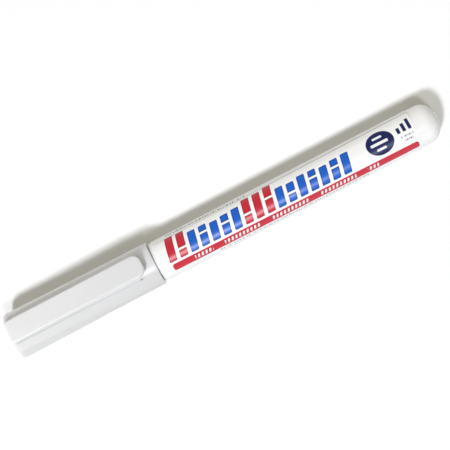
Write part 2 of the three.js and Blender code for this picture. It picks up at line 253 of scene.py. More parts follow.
def arcOf(cx, cr, radius, angles):
    # points on an arc about (cx, cr), where 0 degrees is outwards and 90 degrees is towards the tail
    return [(cx + radius * math.sin(math.radians(a)), cr + radius * math.cos(math.radians(a)))
            for a in angles]


def filleted(corners, steps=5):
    # corners are (x, radius, rounding); each sharp corner becomes a short curve
    points = []
    last = len(corners) - 1
    for i, (x, r, rounding) in enumerate(corners):
        here = Vector((x, r))
        if rounding <= 0 or i in (0, last):
            points.append((x, r))
            continue
        before = Vector(corners[i - 1][:2]) - here
        after = Vector(corners[i + 1][:2]) - here
        reach = min(rounding, before.length * 0.48, after.length * 0.48)
        first = here + before.normalized() * reach
        second = here + after.normalized() * reach
        for k in range(steps + 1):
            t = k / steps
            point = first * (1 - t) ** 2 + here * 2 * t * (1 - t) + second * t ** 2
            points.append((point.x, point.y))
    return points


def divided(points, longest):
    # long straight runs get points at this spacing
    made = [points[0]]
    for a, b in zip(points, points[1:]):
        count = max(1, math.ceil(math.dist(a, b) / longest))
        made += [(a[0] + (b[0] - a[0]) * k / count, a[1] + (b[1] - a[1]) * k / count)
                 for k in range(1, count + 1)]
    return made


def turned(points, sides, closed=False):
    # a profile of (x, radius) points turned about the axis
    made = [(x, r * math.sin(tau * k / sides), r * math.cos(tau * k / sides))
            for x, r in points for k in range(sides)]
    runs = list(zip(range(len(points)), range(1, len(points))))
    if closed:
        runs.append((len(points) - 1, 0))
    faces = [(a * sides + k, a * sides + (k + 1) % sides, b * sides + (k + 1) % sides, b * sides + k)
             for a, b in runs for k in range(sides)]
    return made, faces


def extruded(side, half):
    # a closed outline of (x, z) points given a thickness of twice this half
    count = len(side)
    points = [(x, -half, z) for x, z in side] + [(x, half, z) for x, z in side]
    faces = [tuple(range(count)), tuple(range(2 * count - 1, count - 1, -1))]
    faces += [(i, i + count, (i + 1) % count + count, (i + 1) % count) for i in range(count)]
    return points, faces


def cleanMesh(name, work):
    bmesh.ops.remove_doubles(work, verts=work.verts, dist=2e-7)
    bmesh.ops.dissolve_degenerate(work, edges=work.edges, dist=1e-8)
    bmesh.ops.recalc_face_normals(work, faces=work.faces)
    made = bpy.data.meshes.new(name)
    work.to_mesh(made)
    work.free()
    made.shade_smooth()
    made.set_sharp_from_angle(angle=math.radians(34))
    return made


def meshOf(name, shapes, height=axisZ):
    # one clean mesh from lists of points, given in millimetres about the axis, and faces
    work = bmesh.new()
    for points, faces in shapes:
        corners = [work.verts.new((x * mm, y * mm, z * mm + height)) for x, y, z in points]
        for face in faces:
            work.faces.new([corners[i] for i in face])
    return cleanMesh(name, work)


def pieceOf(name, mesh, material, body, slot, *nodes):
    # a finished piece that rides on a body and stands for these nodes
    made = bpy.data.objects.new(name, mesh)
    bpy.context.scene.collection.objects.link(made)
    mesh.materials.clear()
    mesh.materials.append(material)
    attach(made, body)
    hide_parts(*nodes)
    return made


capLook = {
    "toneAtEnd": 0.765,
    "toneAtMouth": 0.685,
    "mottle": 0.03,
    "frontFrom": 2.6,  # mm in front of the axis, where painted shade starts to darken the cap's front
    "frontFade": 0.8,
    "paintedFrontShade": 0.075,
    "greenTone": 0.996,
    "blueTone": 1.004,
    # the painted shade on the front is a little warmer too
    "paintedFrontGreenShade": 0.008,
    "paintedFrontBlueShade": 0.034,
    "creaseAt": -3.5,  # across the marker, in mm: painted shade lies along the clip's front edge
    "creaseHalf": 0.22,
    "creaseSoft": 0.16,
    "creaseHeights": (5.2, 6.95),  # in mm over the axis
    "creaseFromEnd": 0.9,
    "creaseFromTip": 1,
    # painted shade in the crease, stronger at the closed end than at the mouth
    "creaseShadeAtEnd": 0.26,
    "creaseShadeAtMouth": 0.07,
    "spotFromTip": 2.4,  # one darker spot of painted shade, this far from the clip's tip
    "spotHalf": 0.4,
    "spotSoft": 0.3,
    "spotShade": 0.5,
}


def capPlastic():
    # pale grey moulded plastic: a faint flow mottle, a fine satin skin, few scuffs; painted shade darkens its
    # front and the crease under the clip
    s = capLook
    look = {"Base Color": (0.73, 0.727, 0.721, 1), "Roughness": 0.32, "IOR": 1.49,
            "Subsurface Weight": 0.35, "Subsurface Radius": (1, 1, 1), "Subsurface Scale": 0.0006}
    material, desk, shader = newMaterial("capPlastic", look)
    place = objectPlace(desk)
    x, y, z = numbersOf(desk, place)
    flow = noise(desk, stretched(desk, place, (60, 260, 260)), 1, 2)
    fine = noise(desk, place, 2600, 4, 0.6)
    toMouth = ((x / mm - capX0) / (capX1 - capX0)).clamped()
    front = ((-y / mm - s["frontFrom"]) * s["frontFade"]).clamped()
    shade = desk.lerp(toMouth, s["toneAtEnd"], s["toneAtMouth"]) + (flow - 0.5) * s["mottle"]
    # painted shade: the cap's front is made darker
    shade = shade * (1 - front * s["paintedFrontShade"])

    tipX = capX1 - clipSizes["tipToMouth"]
    # painted shade in the crease below the clip's front edge, with a darker spot near the tip
    spot = inside(abs(x / mm - tipX + s["spotFromTip"]) - s["spotHalf"], s["spotSoft"])
    creaseShade = desk.lerp(toMouth, s["creaseShadeAtEnd"], s["creaseShadeAtMouth"]) + spot * s["spotShade"]
    creaseShade = creaseShade * (x / mm).between(capX0 + s["creaseFromEnd"], tipX - s["creaseFromTip"])
    creaseShade = creaseShade * ((z - axisZ) / mm).between(*s["creaseHeights"])
    creaseShade = creaseShade * inside(abs(y / mm - s["creaseAt"]) - s["creaseHalf"], s["creaseSoft"])
    shade = shade * (1 - creaseShade)
    green = shade * (s["greenTone"] - front * s["paintedFrontGreenShade"])
    blue = shade * (s["blueTone"] - front * s["paintedFrontBlueShade"])
    colour = desk.node("ShaderNodeCombineColor", inputs={"Red": shade, "Green": green, "Blue": blue})
    desk.feed(shader.inputs["Base Color"], colour.outputs[0])
    scuff = (noise(desk, stretched(desk, place, (150, 900, 900)), 1, 5, 0.7) - 0.62).clamped()
    desk.feed(shader.inputs["Roughness"], flow * 0.06 + fine * 0.05 + scuff * 0.5 + 0.26)
    bumped(desk, shader, fine * 0.6 + noise(desk, place, 300, 2), 0.000012)
    return material


capSizes = {
    "sides": 10,
    "halfAcross": axisHeight,
    "cornerAtEnd": 1.06,
    "cornerAtMouth": 6.79,
    "fadeLength": 30,
    "fadePower": 1.5,
    "endRound": 1.1,
    "taper": 0.2,  # how much the cap draws in from its closed end to its mouth
    "mouthRound": 0.25,
    "endWall": 1.2,
    "boreAtMouth": 5.5,
    "boreAtEnd": 5.2,
    "skinFrom": 0.35,  # over the bore; what lies farther out is the outer skin
    "shellSides": 400,
    "shellSpacing": 0.8,
    "snapFromMouth": 1.3,  # the ring in the bore that snaps behind the mouthpiece's bead
    "snapLength": 0.6,
    "snapHeight": 0.15,
    "ribCount": 6,
    "ribThickness": 0.8,
    "ribInner": 3.1,  # from the axis, behind the inner cap
    "ribSeat": 4.1,  # from the axis, round the inner cap
    "ribSeatLength": 9.8,  # both lengths are from the inner cap's closed end
    "ribLength": 11,
    "ribIntoWall": 0.2,
}


def ribBlank(material):
    # one rib, on the top of the bore, with the step that seats the inner cap
    s = capSizes
    innerX0 = span("inner_cap")[0]
    stepX = innerX0 - 0.05
    wall = s["boreAtMouth"] + s["ribIntoWall"]
    backX = capX0 + s["endWall"] - s["ribIntoWall"]
    side = [(backX, s["ribInner"]), (stepX, s["ribInner"]), (stepX, s["ribSeat"]),
            (innerX0 + s["ribSeatLength"], s["ribSeat"]), (innerX0 + s["ribLength"], wall), (backX, wall)]
    mesh = meshOf("ribBlank", [extruded(side, s["ribThickness"] / 2)], height=0)
    mesh.materials.append(material)
    return bpy.data.objects.new("ribBlank", mesh)


def capRule():
    # pulls a round shell's outer skin to a polygon whose corners open out towards the mouth
    tree = bpy.data.node_groups.new("capRule", "GeometryNodeTree")
    tree.is_modifier = True
    desk = Desk(tree)
    tree.interface.new_socket("Shell", in_out="INPUT", socket_type="NodeSocketGeometry")
    numbers = ["Sides", "Half Across", "Corner At End", "Corner At Mouth", "Fade Length", "Fade Power",
               "Length", "Taper", "End X", "End Wall", "Bore", "Axis Height", "Rib Count"]
    for name in numbers:
        tree.interface.new_socket(name, in_out="INPUT", socket_type="NodeSocketFloat")
    tree.interface.new_socket("Rib", in_out="INPUT", socket_type="NodeSocketObject")
    tree.interface.new_socket("Plastic", in_out="INPUT", socket_type="NodeSocketMaterial")
    tree.interface.new_socket("Cap", in_out="OUTPUT", socket_type="NodeSocketGeometry")
    given = desk.node("NodeGroupInput")
    value = {name: desk.num(given.outputs[name]) for name in numbers}

    x, y, z = numbersOf(desk, desk.node("GeometryNodeInputPosition").outputs[0])
    z = z - value["Axis Height"]
    radius = (y * y + z * z) ** 0.5
    turn = y.math("ARCTAN2", z)
    step = tau / value["Sides"]
    fromFlat = abs(turn / step - (turn / step).math("ROUND")) * step
    along = (x - value["End X"]) / value["Length"]
    share = (along * value["Length"] / value["Fade Length"]).clamped() ** value["Fade Power"]
    corner = value["Corner At End"] + (value["Corner At Mouth"] - value["Corner At End"]) * share
    centre = (value["Half Across"] - corner) / (step * 0.5).math("COSINE")
    fromCorner = step * 0.5 - fromFlat
    arcReach = corner * corner - (centre * fromCorner.math("SINE")) ** 2
    onArc = centre * fromCorner.math("COSINE") + arcReach.most(0) ** 0.5
    onFlat = value["Half Across"] / fromFlat.math("COSINE")
    sideways = value["Half Across"] * fromFlat.math("TANGENT")
    isArc = sideways > centre * (step * 0.5).math("SINE")
    wanted = onFlat + (onArc - onFlat) * isArc
    outer = (radius > value["Bore"]).most(x < value["End X"] + value["End Wall"] * 0.5)
    drawnIn = 1 - along.clamped() * value["Taper"] / value["Half Across"]
    scale = 1 + (wanted * drawnIn / value["Half Across"] - 1) * outer
    moved = desk.node("ShaderNodeCombineXYZ", inputs={
        "X": x, "Y": y * scale, "Z": z * scale + value["Axis Height"]})
    skin = desk.node("GeometryNodeSetPosition", inputs={
        "Geometry": given.outputs["Shell"], "Position": moved.outputs[0]})

    start = desk.node("ShaderNodeCombineXYZ", inputs={"Z": value["Axis Height"]})
    places = desk.node("GeometryNodeMeshLine", inputs={
        "Count": value["Rib Count"].math("ROUND"), "Start Location": start.outputs[0],
        "Offset": (0, 0, 0)})
    index = desk.num(desk.node("GeometryNodeInputIndex").outputs[0])
    angle = desk.node("ShaderNodeCombineXYZ", inputs={"X": (index + 0.5) * tau / value["Rib Count"]})
    turns = desk.node("FunctionNodeEulerToRotation", inputs={"Euler": angle.outputs[0]})
    rib = desk.node("GeometryNodeObjectInfo", inputs={"Object": given.outputs["Rib"]})
    ribs = desk.node("GeometryNodeInstanceOnPoints", inputs={
        "Points": places.outputs[0], "Instance": rib.outputs["Geometry"], "Rotation": turns.outputs[0]})
    both = desk.node("GeometryNodeJoinGeometry")
    tree.links.new(skin.outputs[0], both.inputs[0])
    tree.links.new(ribs.outputs[0], both.inputs[0])
    real = desk.node("GeometryNodeRealizeInstances", inputs={"Geometry": both.outputs[0]})
    dressed = desk.node("GeometryNodeSetMaterial", inputs={
        "Geometry": real.outputs[0], "Material": given.outputs["Plastic"]})
    out = desk.node("NodeGroupOutput")
    tree.links.new(dressed.outputs[0], out.inputs[0])
    return tree


def capShellMesh(material):
    s = capSizes
    bore, mouthRound = s["boreAtMouth"], s["mouthRound"]
    outer = divided(filleted([
        (capX0, 0, 0),
        (capX0, s["halfAcross"], s["endRound"]),
        (capX1, s["halfAcross"], mouthRound),
        (capX1, bore + mouthRound, 0.1),
        (capX1 - mouthRound, bore, 0)], 6), s["shellSpacing"])
    snapX = capX1 - s["snapFromMouth"]
    slope = s["snapLength"] / 3
    inner = filleted([
        (capX1 - mouthRound, bore, 0),
        (snapX, bore, 0.1),
        (snapX - slope, bore - s["snapHeight"], 0.1),
        (snapX - 2 * slope, bore - s["snapHeight"], 0.1),
        (snapX - 3 * slope, bore, 0.1),
        (capX0 + s["endWall"], s["boreAtEnd"], 0.6),
        (capX0 + s["endWall"], 0, 0)], 4)
    roundShell = meshOf("shellBlank", [turned(outer + inner[1:], s["shellSides"])])
    shell = bpy.data.objects.new("shellBlank", roundShell)
    rib = ribBlank(material)
    for blank in (shell, rib):
        bpy.context.scene.collection.objects.link(blank)
    modifier = shell.modifiers.new("capRule", "NODES")
    modifier.node_group = capRule()
    wanted = {
        "Sides": s["sides"], "Half Across": s["halfAcross"] * mm,
        "Corner At End": s["cornerAtEnd"] * mm, "Corner At Mouth": s["cornerAtMouth"] * mm,
        "Fade Length": s["fadeLength"] * mm, "Fade Power": s["fadePower"],
        "Length": (capX1 - capX0) * mm, "Taper": s["taper"] * mm,
        "End X": capX0 * mm, "End Wall": s["endWall"] * mm,
        "Bore": (bore + s["skinFrom"]) * mm, "Axis Height": axisZ, "Rib Count": s["ribCount"],
        "Rib": rib, "Plastic": material,
    }
    for item in modifier.node_group.interface.items_tree:
        if item.in_out == "INPUT" and item.name in wanted:
            value = wanted[item.name]
            modifier[item.identifier] = float(value) if isinstance(value, int) else value
    bpy.context.view_layer.update()
    evaluated = shell.evaluated_get(bpy.context.evaluated_depsgraph_get())
    made = bpy.data.meshes.new_from_object(evaluated)
    shell.modifiers.clear()
    for blank in (shell, rib):
        bpy.data.objects.remove(blank)
    return made


clipSizes = {
    "width": 6.9,
    "underside": 7.15,  # at the closed end
    "thickness": 1.0,
    "rise": 1.5,  # degrees that the clip lifts towards its tip
    "crown": 0.06,
    "edgeRound": 0.62,
    "underRound": 0.12,
    "rootCorner": 0.7,
    "tipRadius": 2.6,
    "tipToMouth": 3.1,
    "rootFrom": 0.4,  # from the cap's closed end
    "rootLength": 7.5,
    "rootWidth": 4.9,
    "rootFoot": 6.2,  # from the axis, inside the cap's wall
    "rootIntoClip": 0.3,
    "sinkAt": 8.1,
    "sinkReach": 0.8,
    "sinkDepth": 0.05,
    "bumpFromTip": 3.2,
    "bumpHalf": 3.1,
    "bumpRadius": 1.1,
    "bumpGap": 0.2,
    "bumpIntoClip": 0.4,
    "bumpSides": 32,
}


def clipUnder(x):
    return clipSizes["underside"] + (x - capX0) * math.tan(math.radians(clipSizes["rise"]))


def clipRing(inset, height, crowned=0.0):
    # the clip's outline, moved inwards, as one ring of points at a height over the clip's underside
    s = clipSizes
    x0, x1 = capX0 + inset, capX1 - s["tipToMouth"] - inset
    half = max(s["width"] / 2 - inset, 0)
    start = min(max(s["rootCorner"] - inset, 0), half)
    tip = min(max(s["tipRadius"] - inset, 0), half)
    corners = [(x1 - tip, -half + tip, tip, -90, 10), (x1 - tip, half - tip, tip, 0, 10),
               (x0 + start, half - start, start, 90, 5), (x0 + start, -half + start, start, 180, 5)]
    sideSteps = [6, 90, 6, 90]
    ring = []
    for i, (cx, cy, r, fromAngle, steps) in enumerate(corners):
        arc = [(cx + r * math.cos(math.radians(fromAngle + 90 * k / steps)),
                cy + r * math.sin(math.radians(fromAngle + 90 * k / steps))) for k in range(steps + 1)]
        nx, ny, nr, nextAngle, _ = corners[(i + 1) % 4]
        end = (nx + nr * math.cos(math.radians(nextAngle)), ny + nr * math.sin(math.radians(nextAngle)))
        count = sideSteps[i]
        line = [(arc[-1][0] + (end[0] - arc[-1][0]) * k / count,
                 arc[-1][1] + (end[1] - arc[-1][1]) * k / count) for k in range(1, count)]
        ring += arc + line
    made = []
    for x, y in ring:
        crown = s["crown"] * (1 - (y / (s["width"] / 2)) ** 2) * crowned
        sink = s["sinkDepth"] * math.exp(-((x - capX0 - s["sinkAt"]) / s["sinkReach"]) ** 2) * crowned
        made.append((x, y, clipUnder(x) + height + crown - sink))
    return made


def clipBlade():
    # rings from the middle of the underside, round the edge, to the middle of the crowned top
    s = clipSizes
    middle = s["width"] / 2
    flatTop = s["thickness"] - s["crown"]
    lip, edge = s["underRound"], s["edgeRound"]
    rings = [clipRing(inset, 0) for inset in (middle, 2.4, 1.2, lip)]
    for a in (math.radians(45), math.radians(90)):
        rings.append(clipRing(lip * (1 - math.sin(a)), lip * (1 - math.cos(a))))
    for k in range(9):
        a = math.radians(90 * k / 8)
        rings.append(clipRing(edge * (1 - math.cos(a)), flatTop - edge + edge * math.sin(a), k / 8))
    rings += [clipRing(inset, flatTop, 1) for inset in (0.9, 1.3, 1.8, 2.3, 2.8, 3.2, middle)]
    count = len(rings[0])
    points = [point for ring in rings for point in ring]
    faces = [(a * count + k, a * count + (k + 1) % count, (a + 1) * count + (k + 1) % count,
              (a + 1) * count + k) for a in range(len(rings) - 1) for k in range(count)]
    return points, faces


def clipRoot():
    # joins the clip to the cap, hollowed where the gap starts
    s = clipSizes
    foot, wall = s["rootFoot"], capSizes["halfAcross"]
    startX = capX0 + s["rootFrom"]
    rootX = capX0 + s["rootLength"]
    slot = (clipUnder(rootX) - wall) / 2
    hollow = [(rootX - slot * math.sin(math.radians(a)), wall + slot - slot * math.cos(math.radians(a)))
              for a in range(0, 181, 20)]
    side = [(startX, foot), (rootX, foot), *hollow, (rootX, clipUnder(rootX) + s["rootIntoClip"]),
            (startX, clipUnder(startX) + s["rootIntoClip"])]
    return extruded(side, s["rootWidth"] / 2)


def clipRidge():
    # grips the edge of a pocket
    s = clipSizes
    ridgeX = capX1 - s["tipToMouth"] - s["bumpFromTip"]
    reach, r = s["bumpHalf"], s["bumpRadius"]
    low = capSizes["halfAcross"] - capSizes["taper"] + s["bumpGap"]
    outline = filleted([(-reach, 0, 0), (-reach, r, 0.7), (reach, r, 0.7), (reach, 0, 0)], 6)
    ridge, faces = turned(outline, s["bumpSides"])
    lift = (clipUnder(ridgeX) + s["bumpIntoClip"] - low) / (2 * r)
    return [(ridgeX + y, x, low + (z + r) * lift) for x, y, z in ridge], faces


def makeCap():
    material = capPlastic()
    work = bmesh.new()
    work.from_mesh(capShellMesh(material))
    work.from_mesh(meshOf("clip", [clipBlade(), clipRoot(), clipRidge()]))
    pieceOf("capMoulding", cleanMesh("capMoulding", work), material, "cap", "cap_plastic", "cap")
    print("cap made")


def mouldedPlastic(name, colour, roughness, speckle=500):
    # plain moulded plastic of the inner parts
    look = {"Base Color": (*colour, 1), "Roughness": roughness, "IOR": 1.49}
    material, desk, shader = newMaterial(name, look)
    place = objectPlace(desk)
    flow = noise(desk, place, speckle, 3)
    darker = tuple(c * 0.95 for c in colour)
    desk.feed(shader.inputs["Base Color"], desk.blend(flow, darker, colour))
    desk.feed(shader.inputs["Roughness"], flow * 0.1 + roughness - 0.05)
    bumped(desk, shader, noise(desk, place, 1800, 3), 0.00001)
    return material


innerCapSizes = {
    "radius": 4.05,
    "bore": 3.6,
    "mouthBore": 3.82,
    "floor": 0.8,
    "lipBore": 3.5,  # the ring that seals on the neck
    "lipAt": 1.2,  # from the mouth
    "lipHalf": 0.4,
    "sides": 128,
}


def makeInnerCap():
    s = innerCapSizes
    x0, x1 = span("inner_cap")
    bore, lipX, lipHalf = s["bore"], x1 - s["lipAt"], s["lipHalf"]
    corners = [
        (x0, 0, 0), (x0, s["radius"], 0.5), (x1, s["radius"], 0.15), (x1, s["mouthBore"], 0.1),
        (lipX + lipHalf, bore, 0.2), (lipX, s["lipBore"], 0.2), (lipX - lipHalf, bore, 0.2),
        (x0 + s["floor"], bore, 0.5), (x0 + s["floor"], 0, 0)]
    mesh = meshOf("innerCapCup", [turned(filleted(corners), s["sides"])])
    material = mouldedPlastic("sealPlastic", (0.78, 0.8, 0.82), 0.45)
    pieceOf("innerCapCup", mesh, material, "cap", "seal_plastic", "inner_cap")


def barrelLacquer():
    look = {"Base Color": (0.86, 0.85, 0.835, 1), "Roughness": 0.25, "IOR": 1.5,
            "Coat Weight": 0.3, "Coat Roughness": 0.1}
    material, desk, shader = newMaterial("barrelLacquer", look)
    place = objectPlace(desk)
    peel = noise(desk, place, 900, 3)
    tone = noise(desk, place, 60, 2)
    desk.feed(shader.inputs["Base Color"], desk.blend(tone, (0.845, 0.835, 0.82), (0.87, 0.863, 0.85)))
    desk.feed(shader.inputs["Roughness"], peel * 0.1 + 0.2)
    bumped(desk, shader, peel, 0.00001)
    return material


barrelSizes = {
    "radius": 5.9,
    "wall": 0.5,
    "rimRound": 0.12,
    "tailRadius": 4.0,
    "dome": 0.45,
    "tailWall": 0.8,
    "flat": 1.8,
    "sides": 192,
}


def makeBarrel():
    s = barrelSizes
    r, w, rim, tail = s["radius"], s["wall"], s["rimRound"], s["tailRadius"]
    cx, cr = barrelX1 - s["dome"] - tail, r - tail
    shoulder = arcOf(cx, cr, tail, range(0, 81, 4))
    outline = [(barrelX0, r - w), (barrelX0, r - rim), (barrelX0 + rim / 3, r - rim / 3), (barrelX0 + rim, r)]
    outline += shoulder
    outline += filleted([(*shoulder[-1], 0), (barrelX1, s["flat"], 0.8), (barrelX1, 0, 0)], 8)[1:]
    outline += [(barrelX1 - s["tailWall"], 0), (barrelX1 - s["tailWall"], s["flat"])]
    outline += arcOf(cx, cr, tail - w, range(80, -1, -8))
    mesh = meshOf("barrelTube", [turned(outline, s["sides"], closed=True)])
    pieceOf("barrelTube", mesh, barrelLacquer(), "barrel", "barrel_lacquer", "barrel")


labelPrint = {
    "skew": 0.0123,  # the wrap went on slightly turned, in mm round per mm along
    "skewFrom": -17.3,
    "lean": 0.2,
    "bandStart": -18.6,  # the leaning bars; every place here is in mm along, or in mm round from the top
    "bandPitch": 3.5,
    "bandCount": 17,
    "barWidth": 2.45,
    "barCorner": 0.35,
    "barTop": -2.55,
    "barFoot": 3.28,
    "barWave": 0.35,  # how much the bars differ in height
    "waveRate": 1.9,
    "redRise": 1.95,  # how much higher the red ones reach
    "firstReds": 2,  # counted from 0, bars 0 and 1 are red, and bars 7 to 9
    "nextReds": (6.5, 9.5),
    "slitAt": -0.1,
    "slitHalf": 0.3,
    "slitWave": 0.9,
    "rimInk": 0.24,  # width of the darker rim of a bar
    "rimSoft": 0.14,
    "stripeAt": (21.05, 5.23),
    "stripeHalf": (39.45, 1.22),
    "stripeCorner": 0.7,
    "tickPitch": 1.2,
    "tickHalf": (0.3, 0.64),
    "tickCorner": 0.2,
    "tickLean": 0.25,
    "tickRun": (-11.5, 47.5),
    "tickGaps": (0.41, -0.72),  # a gap comes where the sine of this rate is below this level
    "ovalAt": (50.35, -0.55),
    "ovalHalf": (4.25, 3.53),
    "ovalSharpness": 3.8,
    "markAt": 50.1,
    "marks": ((-2.3, 1.5, 0.34), (-0.55, 2.7, 0.42), (1.2, 1.5, 0.34)),  # place, half length, half height
    "markCorner": 0.3,
    "risingAt": 55.6,  # the three rising bars
    "risingCount": 3,
    "risingPitch": 1.75,
    "risingFoot": -0.4,
    "risingTop": -2.2,
    "risingStep": 0.8,
    "risingHalf": 0.5,
    "risingCorner": 0.2,
    "dashRows": (  # place, half height, from, to, how dark
        (-5.75, 0.42, -16.7, 9.1, 1), (7.3, 0.34, -4, 44, 0.75),
        (0.9, 0.3, 56.4, 60.4, 1), (2.1, 0.3, 56.8, 60, 1)),
    "dashDark": 0.85,
    "dashSoft": 0.1,
    "seamFrom": 60,  # the place along at which seamAtTail is given
    "seamAtTail": 49.0,  # degrees behind the top
    "seamDrift": 0.114,  # degrees nearer the top for each mm towards the mouth
    "seamShift": 0.1,  # the painted shadow of the step lies this far behind it, in mm
    "seamHalf": 0.2,
    "seamSoft": 0.1,
    "paintedSeamShadow": (0.3, 0.85),  # how dark the painted shadow is up to the marker's middle, and from paintedSeamShadowFrom on
    "paintedSeamShadowFrom": 30,
    "red": (0.53, 0.015, 0.036),
    "redRim": (0.36, 0.008, 0.02),
    "blue": (0.004, 0.105, 0.53),
    "blueRim": (0.003, 0.035, 0.25),
    "navy": (0.004, 0.009, 0.085),
    "dash": (0.06, 0.055, 0.08),
    # the painted shadow behind the seam's step
    "seam": (0.13, 0.12, 0.11),
    "film": (0.865, 0.862, 0.856),
    "filmDull": (0.862, 0.858, 0.85),
    "bareTick": (0.82, 0.8, 0.79),
    "bareMark": (0.84, 0.84, 0.84),
}

labelSizes = {
    "inner": 5.904,  # just clear of the barrel
    "outer": 6.02,
    "lap": 0.1,
    "lapWidth": 2.4,
    "lapSwell": 1.2,
    "edge": 0.03,  # the chamfer of its two ends
    "sides": 300,
    "rings": 60,
}


def leaningBars(along, down):
    # three masks: the bars, the bars without their darker rims, and which of them are red
    p = labelPrint
    lean = along + down * p["lean"] - p["bandStart"]
    count = (lean / p["bandPitch"]).math("FLOOR")
    within = lean - (count + 0.5) * p["bandPitch"]
    isRed = (count < p["firstReds"]).most(count.between(*p["nextReds"]))
    wave = (count * p["waveRate"]).math("SINE")
    top = p["barTop"] + wave * p["barWave"] - isRed * p["redRise"]
    middle = (top + p["barFoot"]) * 0.5
    edge = barEdge(within, down - middle, p["barWidth"] / 2, (p["barFoot"] - top) * 0.5, p["barCorner"])
    isOdd = count % 2 > 0.5
    noSlit = (1 - isOdd) * 9  # every other bar has no slit
    slit = (p["slitHalf"] - abs(down - wave * p["slitWave"] - p["slitAt"])) * isOdd - noSlit
    edge = edge.most(slit)
    bars = inside(edge) * lean.between(0, p["bandPitch"] * p["bandCount"])
    return bars, inside(edge + p["rimInk"], p["rimSoft"]), isRed


def tickedStripe(along, down):
    # the long stripe and its row of small pale ticks
    p = labelPrint
    stripeX, stripeY = p["stripeAt"]
    stripe = roundedBar(along - stripeX, down - stripeY, *p["stripeHalf"], p["stripeCorner"])
    tickAt = (along + down * p["tickLean"]) % p["tickPitch"] - p["tickPitch"] / 2
    rate, level = p["tickGaps"]
    group = ((along * rate).math("SINE") > level) * along.between(*p["tickRun"])
    ticks = roundedBar(tickAt, down - stripeY, *p["tickHalf"], p["tickCorner"]) * group
    return stripe, ticks


def markedOval(along, down):
    # an oval with three level marks
    p = labelPrint
    ox = (along - p["ovalAt"][0]) / p["ovalHalf"][0]
    oy = (down - p["ovalAt"][1]) / p["ovalHalf"][1]
    oval = inside(((ox ** 2 + oy ** 2) ** 0.5 - 1) * p["ovalSharpness"])
    marks = [roundedBar(along - p["markAt"], down - place, *half, p["markCorner"])
             for place, *half in p["marks"]]
    return oval, anyOf(marks)


def risingBars(along, down):
    p = labelPrint
    side = (along - p["risingAt"]) / p["risingPitch"]
    count = side.math("FLOOR")
    within = (side - count - 0.5) * p["risingPitch"]
    top = p["risingTop"] - count * p["risingStep"]
    middle = (top + p["risingFoot"]) * 0.5
    half = (p["risingFoot"] - top) * 0.5
    bars = roundedBar(within, down - middle, p["risingHalf"], half, p["risingCorner"])
    return bars * count.between(-0.5, p["risingCount"] - 0.5)


def labelFilm():
    # printed film: generic bars, stripe, oval and dashes on white, with a painted shadow behind the seam's
    # step
    p = labelPrint
    look = {"Base Color": (*p["film"], 1), "Roughness": 0.3, "IOR": 1.5}
    material, desk, shader = newMaterial("labelFilm", look)
    place = objectPlace(desk)
    x, y, z = numbersOf(desk, place)
    along = x / mm
    around = (-y).math("ARCTAN2", z - axisZ) * labelSizes["outer"]  # mm round from the top, + to the front
    down = around - (along - p["skewFrom"]) * p["skew"]
    bars, core, isRed = leaningBars(along, down)
    stripe, ticks = tickedStripe(along, down)
    oval, marks = markedOval(along, down)
    rising = risingBars(along, down)

    # rows of short dark dashes
    speck = noise(desk, stretched(desk, place, (2600, 1, 1)), 1, 2) > 0.5
    rows = [inside(abs(down - at) - half, p["dashSoft"]) * along.between(low, high) * dark
            for at, half, low, high, dark in p["dashRows"]]
    dashes = anyOf(rows) * speck * p["dashDark"]

    film = noise(desk, place, 220, 3)
    perDegree = math.radians(labelSizes["outer"])
    # a dark line painted just behind the seam's step: painted shadow
    seamAt = ((p["seamFrom"] - along) * p["seamDrift"] - p["seamAtTail"]) * perDegree - p["seamShift"]
    seam = inside(abs(around - seamAt) - p["seamHalf"], p["seamSoft"])
    seam = seam * desk.lerp((along / p["paintedSeamShadowFrom"]).clamped(), *p["paintedSeamShadow"])
    barInk = desk.blend(isRed, desk.blend(core, p["blueRim"], p["blue"]),
                        desk.blend(core, p["redRim"], p["red"]))
    colour = desk.blend(film, p["filmDull"], p["film"])
    for mask, ink in ((seam, p["seam"]), (bars, barInk), (stripe, p["red"]), (ticks * stripe, p["bareTick"]),
                      (oval, p["navy"]), (marks, p["bareMark"]), (rising, p["navy"]), (dashes, p["dash"])):
        colour = desk.blend(mask, colour, ink)
    desk.feed(shader.inputs["Base Color"], colour)
    inked = anyOf([bars, stripe, oval])
    desk.feed(shader.inputs["Roughness"], 0.32 + film * 0.05 - inked * 0.05)
    waves = noise(desk, stretched(desk, place, (120, 400, 400)), 1, 2)
    bumped(desk, shader, waves * 4 + noise(desk, place, 1500, 3), 0.000006)
    return material


def makeLabel():
    # a wrap whose ends overlap at the upper back: it steps down at the seam and swells gently to it
    s = labelSizes
    rings = []
    for k in range(s["rings"] + 1):
        x = labelX0 + (labelX1 - labelX0) * k / s["rings"]
        seam = math.radians((labelPrint["seamFrom"] - x) * labelPrint["seamDrift"] - labelPrint["seamAtTail"])
        ring = []
        for i in range(s["sides"] + 1):
            turn = i / s["sides"] * tau
            swell = eased(1 - (turn * s["outer"] - s["lapWidth"]) / s["lapSwell"])
            ring.append((x, seam + turn, s["outer"] + s["lap"] * swell))
        rings.append(ring)
    first, last, edge = rings[0], rings[-1], s["edge"]
    ends = [[(x + shift, turn, r - drop) for x, turn, r in ring]
            for ring, shift, drop in ((first, 0, edge), (first, edge, 0), (last, -edge, 0), (last, 0, edge))]
    inner = [[(x, turn, s["inner"]) for x, turn, r in ring] for ring in (last, first)]
    loops = [ends[0], ends[1], *rings[1:-1], ends[2], ends[3], *inner]
    size = s["sides"] + 1
    points = [(x, -r * math.sin(turn), r * math.cos(turn)) for loop in loops for x, turn, r in loop]
    total = len(loops)
    faces = [(a * size + k, a * size + (k + 1) % size, (a + 1) % total * size + (k + 1) % size,
              (a + 1) % total * size + k) for a in range(total) for k in range(size)]
    mesh = meshOf("labelWrap", [(points, faces)])
    pieceOf("labelWrap", mesh, labelFilm(), "barrel", "label_print", "label")


